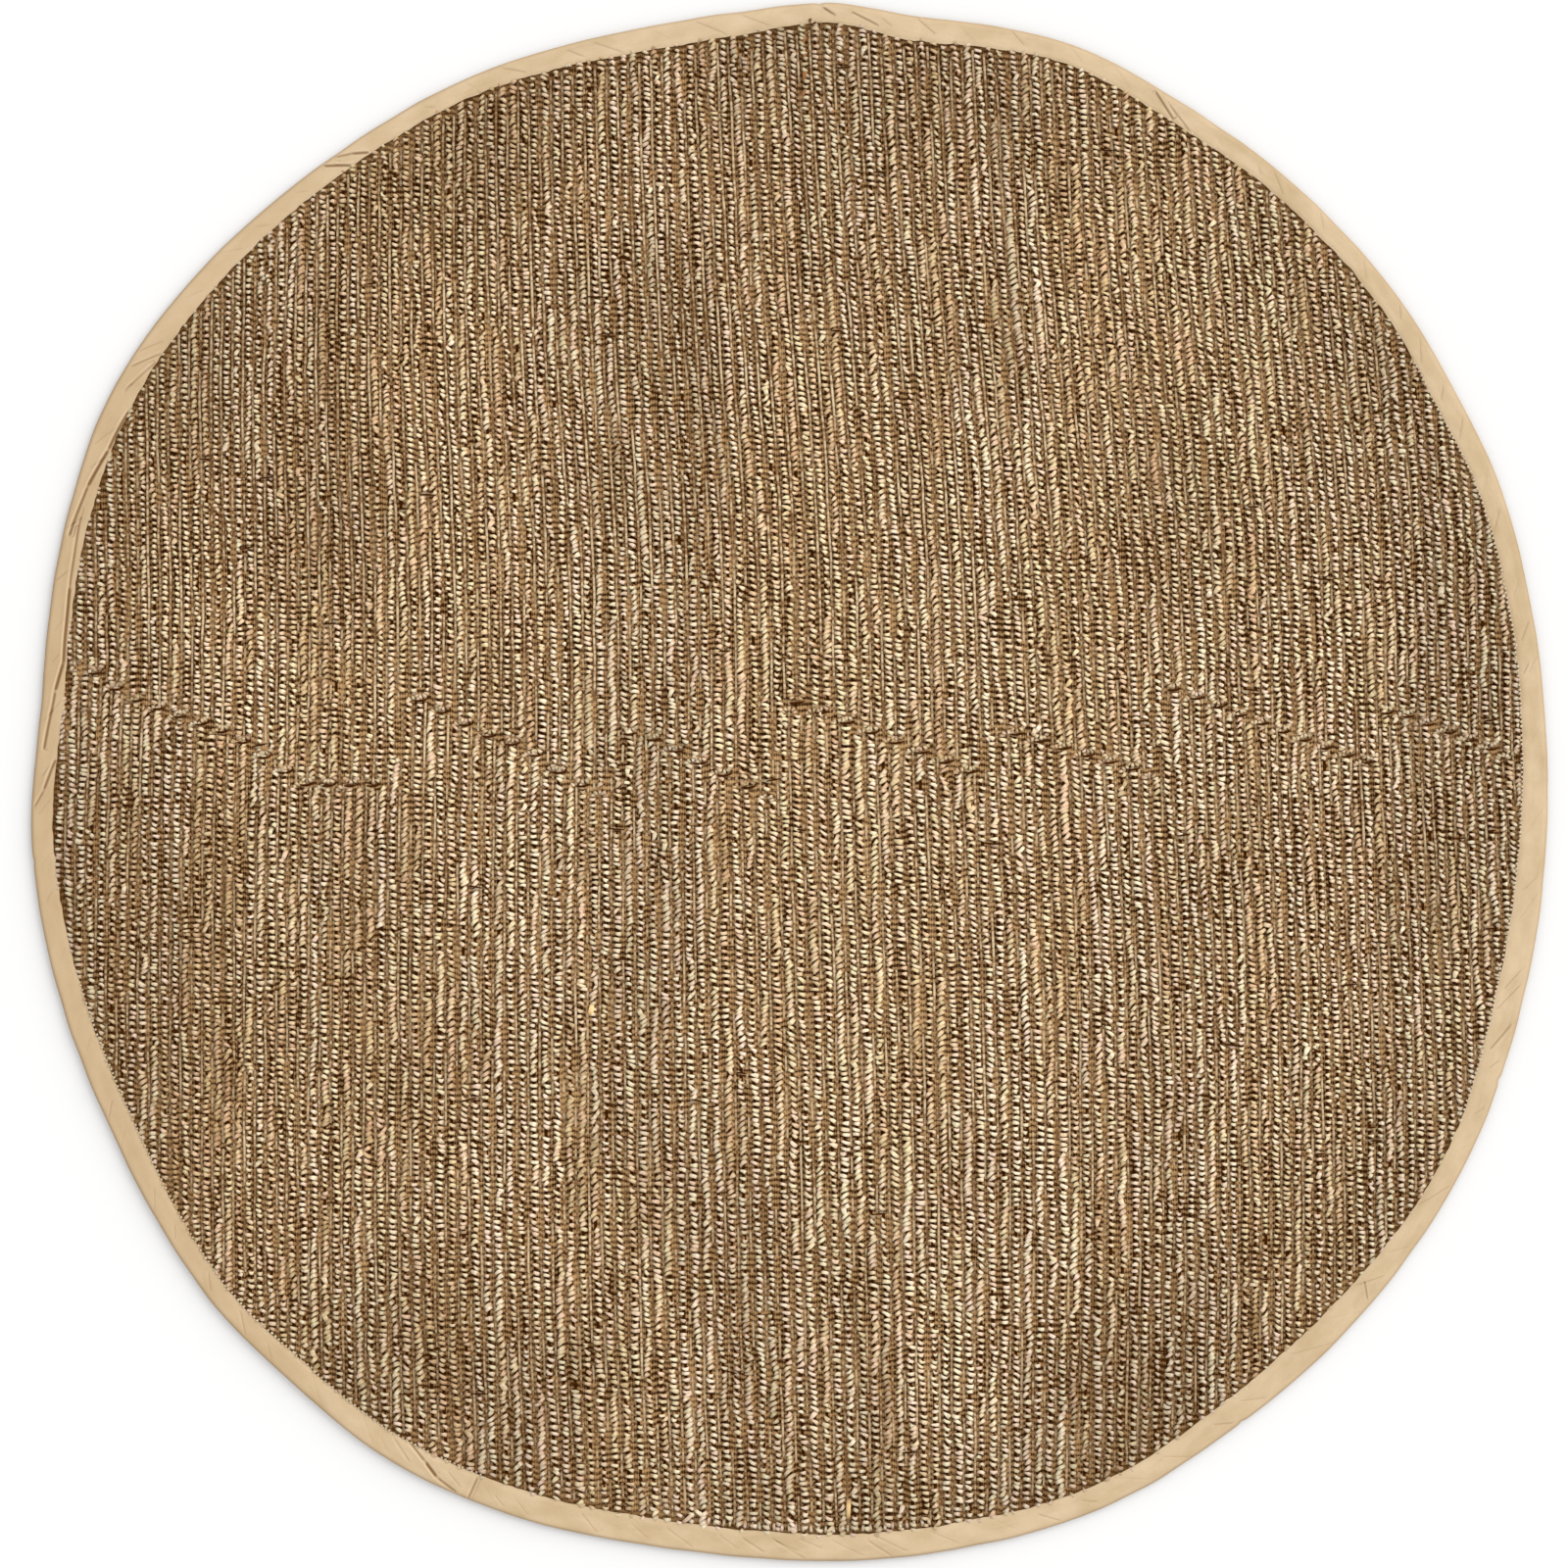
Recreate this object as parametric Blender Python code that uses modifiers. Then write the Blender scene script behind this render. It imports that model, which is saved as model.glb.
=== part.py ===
"""Round jute rug, about 1.5 m across, lying flat, with a cotton tape folded over its cut edge.

Metres, +Z up. The origin is on the floor, under the middle of the rug's outline, and the
rows of loops run along Y. The rug is two sewn pieces: the woven jute field, whose margin is
pressed flat, and the tape that holds that margin between its two flaps.
"""

import math
from collections import namedtuple

import bmesh
import bpy

PILE_HEIGHT = 0.010  # floor to the tops of the loops
MARGIN_THICKNESS = 0.0045  # jute pressed flat between the tape's flaps
TAPE_THICKNESS = 0.0012  # cotton tape, two plies
CLEARANCE = 0.0003  # between the tape and the jute
SHOULDER = 0.012  # width over which the pile rises from the tape to its full height
UNDER_STEP = 0.004  # width over which the underside comes down from the tape to the floor
SECTION_STEP_DEG = 3  # between two sections round the edge
FOLD_STEPS = 6  # flats round the fold at the rug's edge
MARGIN_EDGE_STEPS = 4  # flats round the edge of the jute inside the fold

# What follows from them.
MARGIN_BOTTOM = TAPE_THICKNESS + CLEARANCE
MARGIN_TOP = MARGIN_BOTTOM + MARGIN_THICKNESS
EDGE_HEIGHT = MARGIN_TOP + CLEARANCE + TAPE_THICKNESS
FOLD_RADIUS = EDGE_HEIGHT / 2
MARGIN_RADIUS = MARGIN_THICKNESS / 2

# The finished edge wanders in and out of a true circle, as it was cut and sewn by hand.
# bearing_deg runs from +X towards +Y, radius is the edge's distance from the centre of the
# cut, and tape is how much of the tape shows on top there.
EdgePoint = namedtuple("EdgePoint", "bearing_deg radius tape")
EDGE = (
    EdgePoint(0, 0.732, 0.025),
    EdgePoint(12, 0.735, 0.022),
    EdgePoint(24, 0.744, 0.022),
    EdgePoint(30, 0.745, 0.023),
    EdgePoint(38, 0.751, 0.020),
    EdgePoint(48, 0.755, 0.020),
    EdgePoint(60, 0.758, 0.021),
    EdgePoint(69, 0.763, 0.020),
    EdgePoint(81, 0.751, 0.024),
    EdgePoint(87, 0.755, 0.020),
    EdgePoint(94, 0.747, 0.023),
    EdgePoint(102, 0.744, 0.023),
    EdgePoint(114, 0.750, 0.019),
    EdgePoint(126, 0.751, 0.019),
    EdgePoint(144, 0.759, 0.023),
    EdgePoint(151, 0.759, 0.024),
    EdgePoint(160, 0.747, 0.022),
    EdgePoint(174, 0.731, 0.022),
    EdgePoint(184, 0.738, 0.021),
    EdgePoint(207, 0.741, 0.024),
    EdgePoint(222, 0.755, 0.021),
    EdgePoint(230, 0.757, 0.023),
    EdgePoint(238, 0.764, 0.025),
    EdgePoint(247, 0.762, 0.027),
    EdgePoint(262, 0.752, 0.027),
    EdgePoint(279, 0.759, 0.026),
    EdgePoint(294, 0.765, 0.024),
    EdgePoint(304, 0.759, 0.026),
    EdgePoint(313, 0.757, 0.028),
    EdgePoint(330, 0.750, 0.022),
    EdgePoint(345, 0.738, 0.028),
)

Section = namedtuple("Section", "centre_x centre_y out_x out_y radius tape")


def clear_scene():
    for obj in list(bpy.data.objects):
        bpy.data.objects.remove(obj, do_unlink=True)


def turn_between(start_deg, end_deg):
    """Degrees from one bearing on to the next, going round towards +Y."""
    return (end_deg - start_deg) % 360


def edge_at(bearing_deg):
    """The edge's radius and tape width at a bearing, on smooth curves through EDGE."""
    count = len(EDGE)
    here = max(i for i in range(count) if EDGE[i].bearing_deg <= bearing_deg)
    before, a, b, after = (EDGE[(here + k) % count] for k in (-1, 0, 1, 2))
    span = turn_between(a.bearing_deg, b.bearing_deg)
    span_before = turn_between(before.bearing_deg, a.bearing_deg)
    span_after = turn_between(b.bearing_deg, after.bearing_deg)
    t = turn_between(a.bearing_deg, bearing_deg) / span

    def smooth(column):
        v0, v1, v2, v3 = (getattr(p, column) for p in (before, a, b, after))
        slope_a = (v2 - v0) / (span_before + span) * span
        slope_b = (v3 - v1) / (span + span_after) * span
        return (
            v1 * (1 + 2 * t) * (1 - t) ** 2
            + slope_a * t * (1 - t) ** 2
            + v2 * t**2 * (3 - 2 * t)
            - slope_b * t**2 * (1 - t)
        )

    return smooth("radius"), smooth("tape")


def edge_sections():
    """A section across the edge at each bearing, moved so that the outline is centred."""
    cut = []
    for bearing_deg in range(0, 360, SECTION_STEP_DEG):
        bearing = math.radians(bearing_deg)
        cut.append((math.cos(bearing), math.sin(bearing), *edge_at(bearing_deg)))
    xs = [out_x * radius for out_x, _, radius, _ in cut]
    ys = [out_y * radius for _, out_y, radius, _ in cut]
    centre_x = -(min(xs) + max(xs)) / 2
    centre_y = -(min(ys) + max(ys)) / 2
    return [Section(centre_x, centre_y, *row) for row in cut]


def half_turn(inset, height, radius, steps):
    """Half a circle bulging outwards, from its top down, as (inset, height) pairs.

    inset and height are those of the circle's centre.
    """
    points = []
    for step in range(steps + 1):
        angle = math.pi / 2 - math.pi * step / steps
        points.append((inset - radius * math.cos(angle), height + radius * math.sin(angle)))
    return points


def tape_profile(section):
    """The tape's outer face in section, from the top flap's raw edge to the lower one's."""
    fold = half_turn(FOLD_RADIUS, FOLD_RADIUS, FOLD_RADIUS, FOLD_STEPS)
    return [(section.tape, EDGE_HEIGHT), *fold, (section.tape, 0)]


def field_profile(section):
    """The jute's outer face in section, from the top of the pile round to the floor.

    Its edge has twice the clearance, because the flats round the tape's fold cut inside
    the true curve.
    """
    tape = section.tape
    rise = PILE_HEIGHT - MARGIN_TOP
    margin_inset = TAPE_THICKNESS + 2 * CLEARANCE + MARGIN_RADIUS
    margin_middle = (MARGIN_TOP + MARGIN_BOTTOM) / 2
    margin = half_turn(margin_inset, margin_middle, MARGIN_RADIUS, MARGIN_EDGE_STEPS)
    return [
        (tape + SHOULDER, PILE_HEIGHT),
        (tape + SHOULDER * 0.55, MARGIN_TOP + rise * 0.9),
        (tape + SHOULDER * 0.22, MARGIN_TOP + rise * 0.6),
        (tape + CLEARANCE, MARGIN_TOP),
        *margin,
        (tape + CLEARANCE, MARGIN_BOTTOM),
        (tape + CLEARANCE + UNDER_STEP, 0),
    ]


def loft(name, sections, profile_of, capped):
    """Faces between the profiles of neighbouring sections, closed round the rug.

    With capped, the first and last profile points get a flat face each.
    """
    bm = bmesh.new()
    rings = []
    for section in sections:
        ring = []
        for inset, height in profile_of(section):
            reach = section.radius - inset
            x = section.centre_x + section.out_x * reach
            y = section.centre_y + section.out_y * reach
            ring.append(bm.verts.new((x, y, height)))
        rings.append(ring)
    for here, beyond in zip(rings, rings[1:] + rings[:1]):
        for k in range(len(here) - 1):
            bm.faces.new((here[k], here[k + 1], beyond[k + 1], beyond[k]))
    if capped:
        bm.faces.new([ring[0] for ring in rings])
        bm.faces.new([ring[-1] for ring in reversed(rings)])
    mesh = bpy.data.meshes.new(name)
    bm.to_mesh(mesh)
    bm.free()
    return bpy.data.objects.new(name, mesh)


def cloth_material(name, colour, roughness):
    material = bpy.data.materials.new(name)
    material.use_nodes = True
    shader = material.node_tree.nodes["Principled BSDF"]
    shader.inputs["Base Color"].default_value = (*colour, 1)
    shader.inputs["Roughness"].default_value = roughness
    shader.inputs["Metallic"].default_value = 0
    return material


def make_jute_field(sections):
    field = loft("jute_field", sections, field_profile, capped=True)
    field.data.materials.append(cloth_material("jute", (0.33, 0.22, 0.12), 0.9))
    return field


def make_cotton_binding(sections):
    """One length of tape, folded over the edge all the way round."""
    binding = loft("cotton_binding", sections, tape_profile, capped=False)
    solidify = binding.modifiers.new("tape", "SOLIDIFY")
    solidify.thickness = TAPE_THICKNESS
    solidify.offset = -1
    solidify.use_even_offset = True
    binding.data.materials.append(cloth_material("cotton", (0.68, 0.52, 0.32), 0.85))
    return binding


def main():
    clear_scene()
    rug = bpy.data.collections.new("round_jute_rug")
    bpy.context.scene.collection.children.link(rug)
    sections = edge_sections()
    for make in (make_jute_field, make_cotton_binding):
        piece = make(sections)
        rug.objects.link(piece)
        piece.data.shade_smooth()
        piece.data.set_sharp_from_angle(angle=math.radians(35))


main()
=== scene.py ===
import math

import bpy
import numpy as np
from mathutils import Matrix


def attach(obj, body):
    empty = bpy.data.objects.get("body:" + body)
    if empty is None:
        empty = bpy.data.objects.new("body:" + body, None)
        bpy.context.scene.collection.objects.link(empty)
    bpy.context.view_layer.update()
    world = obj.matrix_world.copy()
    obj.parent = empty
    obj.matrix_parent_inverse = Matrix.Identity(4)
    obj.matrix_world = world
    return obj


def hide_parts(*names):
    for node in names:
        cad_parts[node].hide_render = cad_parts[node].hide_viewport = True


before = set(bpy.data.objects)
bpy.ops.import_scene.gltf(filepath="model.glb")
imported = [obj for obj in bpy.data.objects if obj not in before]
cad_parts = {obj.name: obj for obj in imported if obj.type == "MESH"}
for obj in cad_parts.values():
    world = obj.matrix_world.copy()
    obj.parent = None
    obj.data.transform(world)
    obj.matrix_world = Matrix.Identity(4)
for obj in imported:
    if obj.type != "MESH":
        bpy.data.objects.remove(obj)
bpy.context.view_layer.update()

cutCentre = (0.002257, 0.000425)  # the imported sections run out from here
sectionStep = 3  # degrees between two packed sections
reachOut = 0.80  # metres from the middle that the rows are laid out to, past the edge
mapSpan = 1.56  # metres across a map that lies flat
cellStart, cellSpan = 0.08, 0.84  # where a strand starts in its cell of a map, and its share


# The rug's outline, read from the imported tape

def nodePoints(name):
    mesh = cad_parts[name].data
    points = np.zeros(len(mesh.vertices) * 3)
    mesh.vertices.foreach_get("co", points)
    return points.reshape(-1, 3)


def polar(x, y):
    dx = np.asarray(x) - cutCentre[0]
    dy = np.asarray(y) - cutCentre[1]
    return np.degrees(np.arctan2(dy, dx)) % 360, np.hypot(dx, dy)


def readOutline():
    points = nodePoints("cotton_binding")
    bearing, radius = polar(points[:, 0], points[:, 1])
    count = 360 // sectionStep
    section = np.round(bearing / sectionStep).astype(int) % count
    top = points[:, 2].max()
    onTop = points[:, 2] > top - 0.0002
    outer = np.array([radius[section == k].max() for k in range(count)])
    inner = np.array([radius[(section == k) & onTop].min() for k in range(count)])
    return outer, outer - inner, top


outerRadius, tapeWidth, tapeTop = readOutline()


def around(values, bearing):
    # a smooth curve through values that stand at every section
    place = np.asarray(bearing) / sectionStep % len(values)
    first = np.floor(place).astype(int)
    t = place - first
    a, b, c, d = (values[(first + step) % len(values)] for step in (-1, 0, 1, 2))
    return b + t / 2 * (c - a + t * (2 * a - 5 * b + 4 * c - d + t * (3 * (b - c) + d - a)))


def joined(*parts):
    # one array of rows out of its columns
    return np.stack(np.broadcast_arrays(*parts), axis=-1)


def ringPoints(radius, bearing, height):
    # points at a distance from the centre of the cut
    a = np.radians(bearing)
    return joined(cutCentre[0] + np.cos(a) * radius, cutCentre[1] + np.sin(a) * radius, height)


def smoothStep(value, low, high):
    t = np.clip((value - low) / (high - low), 0, 1)
    return t * t * (3 - 2 * t)


def slowNoise(rng, places, step):
    # wanders between -1 and 1 along a line, with a turn at about every step
    places = np.asarray(places, float)
    low = places.min()
    knots = rng.uniform(-1, 1, int((places.max() - low) / step) + 3)
    place = (places - low) / step + rng.uniform(0, 0.999)
    first = np.clip(np.floor(place).astype(int), 0, len(knots) - 2)
    t = smoothStep(place - first, 0, 1)
    return knots[first] * (1 - t) + knots[first + 1] * t


print("outline read:", len(outerRadius), "sections")


# Small helpers for meshes and shaders

def gridQuads(grid):
    # the four corners of every face between neighbouring points of a grid
    near, far = grid[..., :-1, :], grid[..., 1:, :]
    return joined(near[..., :-1], far[..., :-1], far[..., 1:], near[..., 1:]).reshape(-1, 4)


def buildMesh(name, points, faces, maps, vectors):
    # faces has four corners each, maps a place in the image for each corner, and vectors three
    # numbers for the shader at each point or each corner
    mesh = bpy.data.meshes.new(name)
    mesh.vertices.add(len(points))
    mesh.vertices.foreach_set("co", np.asarray(points, np.float32).ravel())
    mesh.loops.add(faces.size)
    mesh.loops.foreach_set("vertex_index", faces.ravel().astype(np.int32))
    mesh.polygons.add(len(faces))
    mesh.polygons.foreach_set("loop_start", np.arange(0, faces.size, 4, dtype=np.int32))
    mesh.polygons.foreach_set("use_smooth", np.ones(len(faces), bool))
    layer = mesh.uv_layers.new(name="OFBake")
    layer.uv.foreach_set("vector", np.asarray(maps, np.float32).ravel())
    for title, values in vectors.items():
        values = np.asarray(values, np.float32).reshape(-1, 3)
        domain = "POINT" if len(values) == len(points) else "CORNER"
        attribute = mesh.attributes.new(title, "FLOAT_VECTOR", domain)
        attribute.data.foreach_set("vector", values.ravel())
    mesh.update(calc_edges=True)
    mesh.validate()
    made = bpy.data.objects.new(name, mesh)
    bpy.context.scene.collection.objects.link(made)
    return made


class Wire:
    # one socket of a shader; arithmetic on it adds Math nodes
    def __init__(self, finish, socket):
        self.finish = finish
        self.socket = socket

    def maths(self, operation, *terms):
        return self.finish.node("ShaderNodeMath", {"operation": operation}, dict(enumerate(terms)))

    def also(self, output):
        return Wire(self.finish, self.socket.node.outputs[output])

    def sine(self):
        return self.maths("SINE", self)

    def absolute(self):
        return self.maths("ABSOLUTE", self)

    def between(self, low, high):
        settings = {"interpolation_type": "SMOOTHSTEP"}
        return self.finish.node("ShaderNodeMapRange", settings, {0: self, 1: low, 2: high})

    def __add__(self, other):
        return self.maths("ADD", self, other)

    def __radd__(self, other):
        return self.maths("ADD", other, self)

    def __sub__(self, other):
        return self.maths("SUBTRACT", self, other)

    def __rsub__(self, other):
        return self.maths("SUBTRACT", other, self)

    def __mul__(self, other):
        return self.maths("MULTIPLY", self, other)

    def __rmul__(self, other):
        return self.maths("MULTIPLY", other, self)


class Finish:
    # one material and its nodes
    def __init__(self, name):
        self.material = bpy.data.materials.new(name)
        self.material.use_nodes = True
        self.tree = self.material.node_tree
        self.tree.nodes.clear()

    def node(self, kind, settings=None, inputs=None, output=0):
        made = self.tree.nodes.new(kind)
        for name, value in (settings or {}).items():
            if name == "stops":
                self.setStops(made.color_ramp, value)
            else:
                setattr(made, name, value)
        for name, value in (inputs or {}).items():
            if isinstance(value, Wire):
                self.tree.links.new(value.socket, made.inputs[name])
            else:
                made.inputs[name].default_value = value
        return Wire(self, made.outputs[output]) if made.outputs else None

    def setStops(self, ramp, stops):
        ramp.elements.remove(ramp.elements[-1])
        ramp.elements[0].position = stops[0][0]
        ramp.elements[0].color = (*stops[0][1], 1)
        for place, colour in stops[1:]:
            ramp.elements.new(place).color = (*colour, 1)

    def split(self, vector):
        parts = self.node("ShaderNodeSeparateXYZ", None, {0: vector})
        return parts, parts.also(1), parts.also(2)

    def vector(self, title):
        settings = {"attribute_name": title}
        return self.split(self.node("ShaderNodeAttribute", settings, output="Vector"))

    def place(self):
        return self.split(self.node("ShaderNodeTexCoord", output="Object"))

    def noise(self, x, y, z, detail=2.0, scale=1.0):
        where = self.node("ShaderNodeCombineXYZ", None, {0: x, 1: y, 2: z})
        inputs = {"Vector": where, "Scale": scale, "Detail": detail}
        return self.node("ShaderNodeTexNoise", None, inputs)

    def ramp(self, value, stops):
        return self.node("ShaderNodeValToRGB", {"stops": stops}, {0: value})

    def mix(self, factor, first, second, blend="MIX"):
        def tone(value):
            return value if isinstance(value, Wire) else (*value, 1)
        settings = {"data_type": "RGBA", "blend_type": blend}
        inputs = {0: factor, 6: tone(first), 7: tone(second)}
        return self.node("ShaderNodeMix", settings, inputs, output=2)

    def bump(self, height, distance, strength):
        inputs = {"Height": height, "Distance": distance, "Strength": strength}
        return self.node("ShaderNodeBump", None, inputs)

    def close(self, colour, roughness, normal, specular):
        inputs = {"Base Color": colour, "Roughness": roughness, "Normal": normal}
        inputs["Specular IOR Level"] = specular
        shader = self.node("ShaderNodeBsdfPrincipled", None, inputs)
        self.node("ShaderNodeOutputMaterial", None, {"Surface": shader})
        return self.material


# How the rows of loops run

# lean is how far the top of a row turns to the left, in degrees
leanAcross = (-0.494, -0.238, 0.018, 0.275, 0.531)  # x of the columns of leanRows
leanRows = (  # y, then the lean at each x
    (0.643, -1.0, 0.5, 3.3, 2.5, 5.0),
    (0.534, -1.0, 1.1, 3.3, 3.5, 5.5),
    (0.425, -1.1, 2.3, 4.8, 5.5, 6.0),
    (0.316, 0.8, 4.5, 4.2, 4.7, 5.5),
    (0.207, 1.0, 2.0, 2.0, 4.3, 2.7),
    (0.098, -0.8, -0.1, 0.2, 3.0, 1.1),
    (-0.011, -2.0, -0.9, 1.4, 2.4, 2.5),
    (-0.121, -0.2, -0.2, 1.9, 3.0, 2.8),
    (-0.230, -0.1, 0.2, 1.9, 1.1, 1.9),
    (-0.339, 0.0, -0.2, 1.5, 0.1, 0.8),
    (-0.448, 0.5, 1.1, 1.3, -0.2, 0.0),
    (-0.557, 1.0, 2.5, 2.1, -0.9, -0.5),
)
rowPitch = (  # x, pitch of the rows above the join, pitch below it, in millimetres
    (-0.622, 10.3, 10.3),
    (-0.494, 10.3, 10.3),
    (-0.366, 11.1, 11.4),
    (-0.238, 11.3, 11.4),
    (-0.110, 11.3, 11.5),
    (0.018, 12.0, 12.3),
    (0.146, 11.5, 11.7),
    (0.275, 11.0, 11.5),
    (0.403, 10.7, 10.3),
    (0.531, 10.0, 9.9),
)
# Where the two woven lengths meet: the rows end one lower than the last, in slanting steps
joinLine = (  # x, y
    (-0.740, 0.120),
    (-0.673, 0.109),
    (-0.643, 0.085),
    (-0.596, 0.067),
    (-0.537, 0.046),
    (-0.470, -0.002),
    (-0.385, -0.002),
    (-0.3735, 0.088),
    (-0.348, 0.076),
    (-0.297, 0.048),
    (-0.267, 0.038),
    (-0.242, 0.026),
    (-0.212, 0.002),
    (-0.178, -0.010),
    (-0.157, 0.055),
    (-0.015, -0.016),
    (-0.005, 0.083),
    (0.185, 0.007),
    (0.196, 0.055),
    (0.355, 0.007),
    (0.366, 0.093),
    (0.564, 0.017),
    (0.575, 0.074),
    (0.740, 0.010),
)
joinXs, joinYs = np.array(joinLine).T
leanTable = np.array(leanRows)[::-1]
pitchTable = np.array(rowPitch)
pitchLevels = (0.14, -0.08)  # y where the pitches above and below the join are true
knotStep = 0.02  # metres between two knots of a row's curve
rowKnots = np.arange(-reachOut, reachOut + 0.001, knotStep)


def leanAt(x, y):
    x, y = np.broadcast_arrays(x, y)
    columns = np.array([np.interp(y, leanTable[:, 0], leanTable[:, k]) for k in range(1, 6)])
    place = np.interp(x, leanAcross, range(5))
    first = np.clip(np.floor(place).astype(int), 0, 3)
    t = place - first
    each = np.arange(len(x))
    return columns[first, each] * (1 - t) + columns[first + 1, each] * t


def rowCurves(column, yMiddle):
    # each row's x at each of rowKnots, from its place at yMiddle
    xs = [-reachOut]
    while xs[-1] < reachOut:
        xs.append(xs[-1] + np.interp(xs[-1], pitchTable[:, 0], pitchTable[:, column]) / 1000)
    curves = np.zeros((len(rowKnots), len(xs)))
    middle = int(np.argmin(abs(rowKnots - yMiddle)))
    curves[middle] = xs
    for way in (1, -1):
        k = middle
        while 0 <= k + way < len(rowKnots):
            slope = -np.tan(np.radians(leanAt(curves[k], rowKnots[k])))
            curves[k + way] = curves[k] + slope * knotStep * way
            k += way
    return curves.T


def fieldRoom(x, y):
    # how far inside the tape's inner edge a point lies
    bearing, radius = polar(x, y)
    return around(outerRadius, bearing) - around(tapeWidth, bearing) - radius


def openWeave(x, y):
    # 1 at the upper left, where the rows stand apart, and 0 lower down and at the right
    return smoothStep(y, -0.04, 0.30) * (1 - smoothStep(x, -0.05, 0.45))


# The loops of jute

loopSettings = {
    "pitchPlaces": (-0.70, 0.0, 0.70),  # y, for the pitch along the row
    "pitches": (0.00612, 0.00570, 0.00540),
    "width": 0.67,  # share of the row's pitch that a loop spans where the thin yarn shows
    "fuller": 0.09,  # added where it doesn't
    "thickness": 0.86,  # share of the pitch along the row
    "top": 0.0093,
    "highest": 0.0104,  # no loop of a row stands above this
    "topNearTape": 0.0077,
    "topFacing": 0.0008,  # added there where the rows run at the tape
    "foot": 0.0046,  # height of the strand's middle where it turns down
    "tapeReach": 0.010,  # over which the pile comes up beside the tape
    "overTape": 0.0012,  # how far a loop's middle may pass the tape's inner edge
    "ropeShare": 0.34,  # of the length, where the strand lies close like a rope
    "slubShare": 0.006,  # of the loops
    "fatShare": 0.012,
    "lostShare": 0.002,
    "slant": 19,  # degrees, right end down
    "ropeSlant": -42,
    "stations": (-114, -58, 0, 58, 114),  # degrees round the arch
    "round": (-22, 56, 124, 202),  # degrees round the strand
    "joinGap": 0.0030,  # from the join to the first straight loop
    "turnGap": 0.0058,  # the same where the strand turns back
    "turnStep": 0.016,  # two rows that end further apart than this share no turn
    "columns": 6,  # pieces that the pile is made in
    "ropeRun": 0.055,  # metres between two turns of what changes slowly along a row
    "gapRun": 0.06,
    "swayRun": 0.030,
    "slackRun": 0.02,
    "swellRun": 0.08,
    "slantRun": 0.06,
    "tipRun": 0.04,
    "seed": 11,
}
loopColumns = (
    "x", "y", "turn", "width", "thick", "top", "skew", "tip", "taper", "row", "along", "tone", "full",
)


def weaveRow(rng, rowNumber, curve, pitch, yStart, way, joinGap):
    # one row of loops from yStart, way is 1 upwards or -1 downwards
    s = loopSettings
    count = int(reachOut / s["pitches"][1] * 1.25)
    steps = np.arange(count) * s["pitches"][1]
    pitchHere = np.interp(yStart + way * steps, s["pitchPlaces"], s["pitches"])
    closed = 2 * s["ropeShare"]
    rope = smoothStep(slowNoise(rng, steps, s["ropeRun"]), 1 - closed, 1.1 - closed)
    gap = 1 + 0.08 * slowNoise(rng, steps, s["gapRun"]) + 0.14 * rng.normal(size=count)
    gap = pitchHere * gap * (1 - 0.17 * rope)
    along = np.cumsum(gap)
    y = yStart + way * (joinGap + along - gap[0] / 2)
    x = np.interp(y, rowKnots, curve) + 0.0015 * slowNoise(rng, along, s["swayRun"])
    room = fieldRoom(x, y)
    facing = smoothStep(abs(y) / np.hypot(x, y), 0.75, 0.95)  # where the rows run at the tape
    near = smoothStep(room, 0.0, s["tapeReach"] * (1 - 0.6 * facing))
    low = s["topNearTape"] + s["topFacing"] * facing
    top = low + (s["top"] - low) * near
    loose = rng.normal(size=(8, count))  # what changes from loop to loop
    slack = slowNoise(rng, along, s["slackRun"])
    swell = slowNoise(rng, along, s["swellRun"])
    fat = rng.uniform(size=count) < s["fatShare"]
    slub = rng.uniform(size=count) < s["slubShare"]  # a thick soft place lying along the row
    slant = s["slant"] + 16 * slowNoise(rng, along, s["slantRun"]) + 9 * loose[1]
    slant = np.where(rope > 0.5, s["ropeSlant"] + 7 * loose[1], slant)
    full = s["fuller"] * (1 - openWeave(x, y))
    wide = 1 + 0.12 * loose[2] + 0.09 * slack + 0.14 * swell + 0.13 * rope
    thick = 1 + 0.09 * loose[3] + 0.07 * swell + 0.10 * rope + 0.3 * fat + 0.3 * slub
    lift = 0.0005 * loose[4] + 0.0004 * slack + 0.0004 * swell - 0.0005 * rope + 0.0003 * slub
    made = {
        "x": x + 0.0006 * loose[0],
        "y": y,
        "turn": 78 * slub - leanAt(x, y) - slant,
        "width": pitch * (s["width"] + full) * wide + 0.002 * fat + 0.003 * slub,
        "thick": pitchHere * s["thickness"] * thick,
        "top": np.minimum(top + near * lift, s["highest"]),
        "skew": 0.0006 * loose[5],
        "tip": 0.0015 * slowNoise(rng, along, s["tipRun"]) + 0.0006 * loose[6],
        "taper": np.clip(0.26 + 0.22 * loose[7], -0.4, 0.6),
        "row": np.full(count, float(rowNumber)),
        "along": along,
        "tone": np.maximum(rng.uniform(size=count) - 0.7 * rope, 0.0),
        "full": full / s["fuller"],
    }
    keep = (room > -s["overTape"] * (1 + 0.5 * facing)) & (rng.uniform(size=count) > s["lostShare"])
    return np.stack([made[name][keep] for name in loopColumns])


# The small loops that the strand makes where it goes round from one row into the next
turnSettings = {
    "bearings": (8, 50, 90, 130, 172),  # degrees round the turn
    "bulge": 0.62,
    "width": 0.0066,
    "thick": 0.0046,
    "lower": 0.0015,  # than the rows
    "tone": (-0.35, 0.10),
}


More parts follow.
